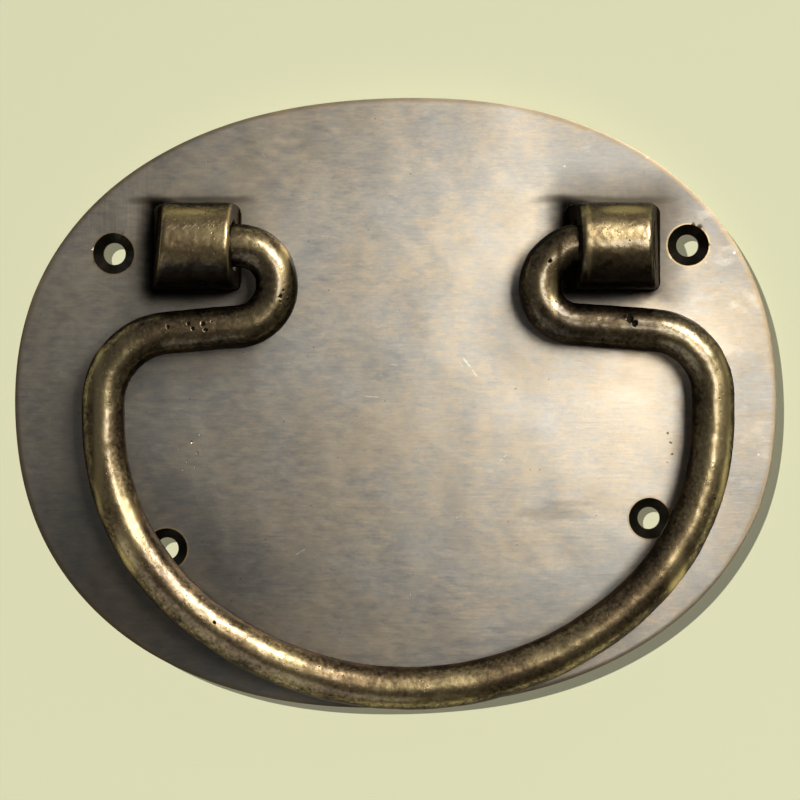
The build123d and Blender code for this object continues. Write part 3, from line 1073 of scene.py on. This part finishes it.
# worn gold, and painted highlights along the rods and the elbows
bail_gold_and_highlights = (
    (-22.3, 28.0, 0.9, 5.0),
    (-58.9, -2.0, 1.0, 16.0),
    (-53.0, -27.0, 2.0, 6.0),
    (31.5, 23.0, 0.7, 5.0),
    (65.0, -4.0, 1.3, 14.0),
    (56.0, -34.0, 1.6, 5.0),
)
# dark patches on the bowl, and painted shade that narrows the highlight on the right arm
bail_dull_and_shaded = (
    (47.0, 17.5, 13.0, 4.5),
    (36.0, 16.0, 7.0, 4.5),
    (0.9, -57.6, 2.0, 0.9),
    (11.9, -57.4, 1.8, 0.6),
)
bail_wear = {"pits": casting_pits, "dull_and_shaded": bail_dull_and_shaded, "shine": 1.05, "sheen_and_polish_low": 0.75}
bail_brass = antique_brass("handled_brass", (0, 0, 0), bail_gold_and_highlights, (0.45, 1.2), **bail_wear)
# a worn gold patch, and painted highlights along the left lug's barrel and inner end
left_gold_and_highlights = (
    (-41.2, 37.2, 4.3, 1.1),
    (-33.9, 33.1, 0.7, 1.1),
    (-33.1, 32.0, 0.35, 6.0),
    (-38.6, 33.4, 5.0, 1.3),
)
# a worn gold spot, and a painted highlight along the right lug's inner edge
right_gold_and_highlights = ((45.5, 38.3, 4.0, 0.9), (38.2, 32.5, 0.6, 6.0))
left_marks = (
    ((-45.2, 34.3), (-44.4, 35.2), 0.16),
    ((-44.3, 34.1), (-43.1, 34.9), 0.2),
    ((-43.2, 34.5), (-42.7, 35.5), 0.14),
    ((-42.4, 34.0), (-41.0, 35.3), 0.24),
    ((-41.3, 34.6), (-40.2, 35.2), 0.18),
    ((-40.4, 34.3), (-39.2, 35.6), 0.22),
    ((-39.3, 34.4), (-38.5, 34.9), 0.16),
    ((-38.4, 34.8), (-37.2, 35.7), 0.2),
    ((-37.3, 34.4), (-36.4, 34.9), 0.14),
)
left_wear = {"marks": left_marks, "shine": 1.75, "shade_below": 0.9}
# painted shade narrows the right lug's highlight
right_wear = {"dull_and_shaded": ((45.0, 28.5, 9.0, 3.2),), "shine": 1.45, "shade_below": 0.5}
lug_gold_at = (0.35, 1.15)
left_lug_brass = antique_brass("left_lug_brass", (0.05, 0, 0), left_gold_and_highlights, lug_gold_at, 0.5, **left_wear)
right_lug_brass = antique_brass(
    "right_lug_brass", (0.11, 0, 0.02), right_gold_and_highlights, lug_gold_at, 0.5, **right_wear
)

# %% [markdown]
# ### The screws' finish
# The hidden screws kept the look of turned brass, dulled by the damp behind the plate.

# %% Turned brass for the screws

turned = Finish("turned_brass")
tarnish = turned.mottle(mm(1.5), detail=4)
rings = turned.mottle(mm(0.15), detail=2, stretch=(30, 1, 30))
screw_colour = turned.mix(tarnish.step(0.4, 0.65), (0.6, 0.44, 0.2), (0.3, 0.21, 0.1))
screw_colour = turned.shade(screw_colour, 0.85 + rings * 0.25)
screw_brass = turned.finished(screw_colour, 0.3 + tarnish * 0.2, rings + tarnish * 0.4, mm(0.015))

# %% [markdown]
# ## Put the pieces on their bodies
# A piece rides on the body it moves with, stands in for a measured node, and is given its finish.

# %% Ride, replace and finish

coat_with(bail, bail_brass)
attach(bail, "bail")
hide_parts("bail")
coat_with(plate, plate_bronze)
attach(plate, "plate")
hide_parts("back_plate")
for name, material in (("left_lug", left_lug_brass), ("right_lug", right_lug_brass)):
    coat_with(lugs[name], material)
    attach(lugs[name], "plate")
    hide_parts(name)
for screw, node in zip(screws, lug_screws):
    coat_with(screw, screw_brass)
    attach(screw, "plate")
    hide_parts(node)
print("pieces placed")

# %% [markdown]
# ## The wall it hangs on
# The knocker hangs on a plain pale wall just behind its plate, with a thin crisp shadow to the lower
# right. The wall isn't part of the piece, and it is clear from behind, so that the back shows too.

# %% A pale wall, clear from behind

nothing_selected()
bpy.ops.mesh.primitive_plane_add(size=4, location=(0, plate_back + mm(2), 0), rotation=(math.pi / 2, 0, 0))
wall = start_piece("wall")
paint = Finish("pale_wall_paint")
matt = paint.node("ShaderNodeBsdfDiffuse", inputs={"Color": (0.85, 0.85, 0.58, 1), "Roughness": 0.5})
pale_glow = paint.node("ShaderNodeEmission", inputs={"Color": (0.85, 0.85, 0.61, 1), "Strength": 0.19})
painted = paint.node("ShaderNodeAddShader", inputs={0: matt, 1: pale_glow})
clear = paint.node("ShaderNodeBsdfTransparent")
from_behind = paint.node("ShaderNodeNewGeometry", output="Backfacing")
two_sided = paint.node("ShaderNodeMixShader", inputs={0: from_behind, 1: painted, 2: clear})
paint.node("ShaderNodeOutputMaterial", inputs={"Surface": two_sided})
coat_with(wall, paint.material)
wall.visible_diffuse = False
wall.visible_transmission = False
wall.visible_shadow = False
wall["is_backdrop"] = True
print("wall stands", round(wall.data.vertices[0].co.y * 1000, 1), "mm behind the door face")

# %% [markdown]
# ## Light
# A broad soft lamp stands to the upper right, as a window would, and lays one clear highlight along
# the rod and the lugs. A smaller one near the camera is what the plate mirrors, bright on the right and
# dim on the left. A weak one below fills the undersides, and one behind lights the back. The wall is lit
# by a sun of its own, linked to the wall alone, so that the shadow is crisp.

# %% The four lamps and the wall's sun


def soft_lamp(name, place, size, power, tint=(1, 1, 1)):
    """A rectangular lamp, aimed at the knocker and unseen by the camera."""
    nothing_selected()
    bpy.ops.object.light_add(type="AREA", location=place)
    lamp = bpy.context.object
    lamp.name = name
    lamp.data.shape = "RECTANGLE"
    lamp.data.size, lamp.data.size_y = size
    lamp.data.energy = power
    lamp.data.color = tint
    lamp.visible_camera = False
    towards_plate = Vector((0, plate_front, 0)) - lamp.location
    lamp.rotation_euler = towards_plate.to_track_quat("-Z", "Y").to_euler()
    return lamp


window = soft_lamp("window", (0.290, -0.430, 0.335), (0.30, 0.26), 3.2, (1.0, 0.985, 0.96))
front_lamp = soft_lamp("front_lamp", (0.16, -0.575, 0.07), (0.16, 0.16), 0.475, (1.0, 0.985, 0.96))
low_fill = soft_lamp("low_fill", (-0.27, -0.26, -0.42), (0.5, 0.5), 0.36)
lamp_behind = soft_lamp("lamp_behind", (-0.35, 0.55, 0.35), (0.6, 0.6), 4.0)
nothing_selected()
bpy.ops.object.light_add(type="SUN", location=(0, -1, 1))
wall_sun = bpy.context.object
wall_sun.name = "wall_sun"
wall_sun.data.energy = 2.17
wall_sun.data.angle = math.radians(0.8)
wall_sun.rotation_euler = Vector((0.45, 1.0, -0.38)).to_track_quat("-Z", "Y").to_euler()

pieces_only = bpy.data.collections.new("lit_by_the_window")
for piece in [bail, plate, *lugs.values(), *screws]:
    pieces_only.objects.link(piece)
wall_only = bpy.data.collections.new("lit_by_the_sun")
wall_only.objects.link(wall)
for lamp in (window, front_lamp, low_fill):
    lamp.light_linking.receiver_collection = pieces_only
wall_sun.light_linking.receiver_collection = wall_only
# the bail is left out, so that the wall shows one close shadow, the plate's
wall_shadow = bpy.data.collections.new("shades_the_wall")
for piece in [plate, *lugs.values()]:
    wall_shadow.objects.link(piece)
wall_sun.light_linking.blocker_collection = wall_shadow
print("lamps set")

# %% [markdown]
# ### The room
# The metal needs something to mirror. A plain change from a dim floor to a paler ceiling is enough, and
# it is the same for every ray.

# %% A dim plain room

room = bpy.data.worlds.new("room")
bpy.context.scene.world = room
sky = Graph(room)
direction = sky.node("ShaderNodeTexCoord", output="Generated")
upward = sky.split(direction)[2]
dim_to_pale = sky.mix(upward.step(-1, 1), (0.01, 0.01, 0.01), (0.11, 0.11, 0.115))
background = sky.node("ShaderNodeBackground", inputs={"Color": dim_to_pale})
sky.node("ShaderNodeOutputWorld", inputs={"Surface": background})
print("room set")

# %% [markdown]
# ## The camera
# It looks straight on from a little over half a metre, level with the middle of the plate.

# %% Camera

nothing_selected()
bpy.ops.object.camera_add(location=(0.00086, -0.583, 0.00059), rotation=(math.pi / 2, 0, 0))
camera = bpy.context.object
camera.data.sensor_width = 36
camera.data.lens = 128.3
bpy.context.scene.camera = camera
bpy.context.scene.view_settings.view_transform = "Standard"
print("camera set")

# %% Print the measured and finished sizes

visual_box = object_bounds()
for label, box in (("measured", cad_box), ("finished", visual_box)):
    print(label, [tuple(round(v * 1000, 2) for v in corner) for corner in box])
